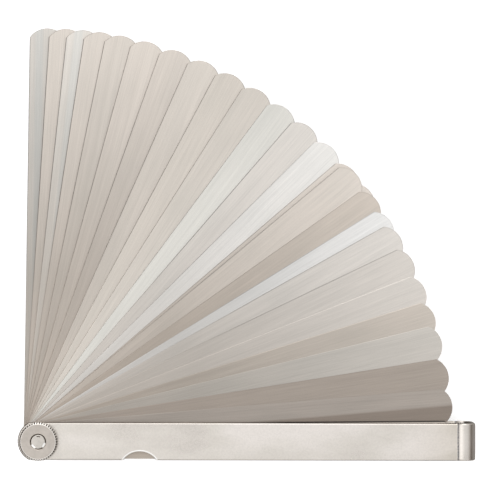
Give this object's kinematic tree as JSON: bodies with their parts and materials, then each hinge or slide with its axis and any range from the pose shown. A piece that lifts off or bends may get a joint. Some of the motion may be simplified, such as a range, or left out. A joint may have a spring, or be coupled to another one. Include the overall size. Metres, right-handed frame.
{
  "type": "feeler gauge",
  "caption": "Fan of graded steel thickness leaves that turn on one pivot screw, in a holder bent from a single plated strip, clamped by a round knurled nut.",
  "frame": {"origin": "on the pivot axis, in the plane of the pivot screw head's outer face, which the gauge lies on", "axes": "+X along the holder from the pivot to the bend, +Y towards the side the leaves fan out to, +Z along the pivot axis from the screw head to the lock nut"},
  "size_m": [0.1655, 0.1571, 0.0182],
  "materials": {
    "nickel_plate": "satin nickel plate on steel",
    "screw_steel": "turned steel, plated, end staked",
    "leaf_steel": "ground and brushed along the leaf"
  },
  "bodies": {
    "holder": {"holder": "nickel_plate", "pivot_screw": "screw_steel"},
    "lock_nut": {"lock_nut": "nickel_plate"},
    "leaf_1_00": {"leaf_1_00": "leaf_steel"},
    "leaf_0_95": {"leaf_0_95": "leaf_steel"},
    "leaf_0_90": {"leaf_0_90": "leaf_steel"},
    "leaf_0_85": {"leaf_0_85": "leaf_steel"},
    "leaf_0_80": {"leaf_0_80": "leaf_steel"},
    "leaf_0_75": {"leaf_0_75": "leaf_steel"},
    "leaf_0_70": {"leaf_0_70": "leaf_steel"},
    "leaf_0_65": {"leaf_0_65": "leaf_steel"},
    "leaf_0_60": {"leaf_0_60": "leaf_steel"},
    "leaf_0_55": {"leaf_0_55": "leaf_steel"},
    "leaf_0_50": {"leaf_0_50": "leaf_steel"},
    "leaf_0_45": {"leaf_0_45": "leaf_steel"},
    "leaf_0_40": {"leaf_0_40": "leaf_steel"},
    "leaf_0_35": {"leaf_0_35": "leaf_steel"},
    "leaf_0_30": {"leaf_0_30": "leaf_steel"},
    "leaf_0_25": {"leaf_0_25": "leaf_steel"},
    "leaf_0_20": {"leaf_0_20": "leaf_steel"},
    "leaf_0_15": {"leaf_0_15": "leaf_steel"},
    "leaf_0_14": {"leaf_0_14": "leaf_steel"},
    "leaf_0_13": {"leaf_0_13": "leaf_steel"},
    "leaf_0_12": {"leaf_0_12": "leaf_steel"},
    "leaf_0_11": {"leaf_0_11": "leaf_steel"},
    "leaf_0_10": {"leaf_0_10": "leaf_steel"},
    "leaf_0_09": {"leaf_0_09": "leaf_steel"},
    "leaf_0_08": {"leaf_0_08": "leaf_steel"},
    "leaf_0_07": {"leaf_0_07": "leaf_steel"},
    "leaf_0_06": {"leaf_0_06": "leaf_steel"},
    "leaf_0_05": {"leaf_0_05": "leaf_steel"}
  },
  "joints": [
    {"name": "lock_nut_turn", "type": "hinge", "parent": "holder", "child": "lock_nut", "pos_m": [0, 0, 0.0166], "axis": [0, 0, 1], "range_deg": [0, 180]},
    {"name": "leaf_1_00_swing", "type": "hinge", "parent": "holder", "child": "leaf_1_00", "pos_m": [0, 0, 0.008], "axis": [0, 0, 1], "range_deg": [-89.25, 90.75]},
    {"name": "leaf_0_95_swing", "type": "hinge", "parent": "holder", "child": "leaf_0_95", "pos_m": [0, 0, 0.008], "axis": [0, 0, 1], "range_deg": [-86.5, 93.5]},
    {"name": "leaf_0_90_swing", "type": "hinge", "parent": "holder", "child": "leaf_0_90", "pos_m": [0, 0, 0.008], "axis": [0, 0, 1], "range_deg": [-84, 96]},
    {"name": "leaf_0_85_swing", "type": "hinge", "parent": "holder", "child": "leaf_0_85", "pos_m": [0, 0, 0.008], "axis": [0, 0, 1], "range_deg": [-81.5, 98.5]},
    {"name": "leaf_0_80_swing", "type": "hinge", "parent": "holder", "child": "leaf_0_80", "pos_m": [0, 0, 0.008], "axis": [0, 0, 1], "range_deg": [-78.5, 101.5]},
    {"name": "leaf_0_75_swing", "type": "hinge", "parent": "holder", "child": "leaf_0_75", "pos_m": [0, 0, 0.008], "axis": [0, 0, 1], "range_deg": [-74.75, 105.25]},
    {"name": "leaf_0_70_swing", "type": "hinge", "parent": "holder", "child": "leaf_0_70", "pos_m": [0, 0, 0.008], "axis": [0, 0, 1], "range_deg": [-70.5, 109.5]},
    {"name": "leaf_0_65_swing", "type": "hinge", "parent": "holder", "child": "leaf_0_65", "pos_m": [0, 0, 0.008], "axis": [0, 0, 1], "range_deg": [-66.25, 113.75]},
    {"name": "leaf_0_60_swing", "type": "hinge", "parent": "holder", "child": "leaf_0_60", "pos_m": [0, 0, 0.008], "axis": [0, 0, 1], "range_deg": [-62, 118]},
    {"name": "leaf_0_55_swing", "type": "hinge", "parent": "holder", "child": "leaf_0_55", "pos_m": [0, 0, 0.008], "axis": [0, 0, 1], "range_deg": [-57.75, 122.25]},
    {"name": "leaf_0_50_swing", "type": "hinge", "parent": "holder", "child": "leaf_0_50", "pos_m": [0, 0, 0.008], "axis": [0, 0, 1], "range_deg": [-53.5, 126.5]},
    {"name": "leaf_0_45_swing", "type": "hinge", "parent": "holder", "child": "leaf_0_45", "pos_m": [0, 0, 0.008], "axis": [0, 0, 1], "range_deg": [-49.25, 130.75]},
    {"name": "leaf_0_40_swing", "type": "hinge", "parent": "holder", "child": "leaf_0_40", "pos_m": [0, 0, 0.008], "axis": [0, 0, 1], "range_deg": [-45, 135]},
    {"name": "leaf_0_35_swing", "type": "hinge", "parent": "holder", "child": "leaf_0_35", "pos_m": [0, 0, 0.008], "axis": [0, 0, 1], "range_deg": [-40.75, 139.25]},
    {"name": "leaf_0_30_swing", "type": "hinge", "parent": "holder", "child": "leaf_0_30", "pos_m": [0, 0, 0.008], "axis": [0, 0, 1], "range_deg": [-37, 143]},
    {"name": "leaf_0_25_swing", "type": "hinge", "parent": "holder", "child": "leaf_0_25", "pos_m": [0, 0, 0.008], "axis": [0, 0, 1], "range_deg": [-40, 140]},
    {"name": "leaf_0_20_swing", "type": "hinge", "parent": "holder", "child": "leaf_0_20", "pos_m": [0, 0, 0.008], "axis": [0, 0, 1], "range_deg": [-35.5, 144.5]},
    {"name": "leaf_0_15_swing", "type": "hinge", "parent": "holder", "child": "leaf_0_15", "pos_m": [0, 0, 0.008], "axis": [0, 0, 1], "range_deg": [-32, 148]},
    {"name": "leaf_0_14_swing", "type": "hinge", "parent": "holder", "child": "leaf_0_14", "pos_m": [0, 0, 0.008], "axis": [0, 0, 1], "range_deg": [-29.5, 150.5]},
    {"name": "leaf_0_13_swing", "type": "hinge", "parent": "holder", "child": "leaf_0_13", "pos_m": [0, 0, 0.008], "axis": [0, 0, 1], "range_deg": [-25.75, 154.25]},
    {"name": "leaf_0_12_swing", "type": "hinge", "parent": "holder", "child": "leaf_0_12", "pos_m": [0, 0, 0.008], "axis": [0, 0, 1], "range_deg": [-21.5, 158.5]},
    {"name": "leaf_0_11_swing", "type": "hinge", "parent": "holder", "child": "leaf_0_11", "pos_m": [0, 0, 0.008], "axis": [0, 0, 1], "range_deg": [-17.5, 162.5]},
    {"name": "leaf_0_10_swing", "type": "hinge", "parent": "holder", "child": "leaf_0_10", "pos_m": [0, 0, 0.008], "axis": [0, 0, 1], "range_deg": [-14, 166]},
    {"name": "leaf_0_09_swing", "type": "hinge", "parent": "holder", "child": "leaf_0_09", "pos_m": [0, 0, 0.008], "axis": [0, 0, 1], "range_deg": [-9.25, 170.75]},
    {"name": "leaf_0_08_swing", "type": "hinge", "parent": "holder", "child": "leaf_0_08", "pos_m": [0, 0, 0.008], "axis": [0, 0, 1], "range_deg": [-5, 175]},
    {"name": "leaf_0_07_swing", "type": "hinge", "parent": "holder", "child": "leaf_0_07", "pos_m": [0, 0, 0.008], "axis": [0, 0, 1], "range_deg": [-0.25, 179.75]},
    {"name": "leaf_0_06_swing", "type": "hinge", "parent": "holder", "child": "leaf_0_06", "pos_m": [0, 0, 0.008], "axis": [0, 0, 1], "range_deg": [0, 180]},
    {"name": "leaf_0_05_swing", "type": "hinge", "parent": "holder", "child": "leaf_0_05", "pos_m": [0, 0, 0.008], "axis": [0, 0, 1], "range_deg": [-0.5, 179.5]}
  ]
}
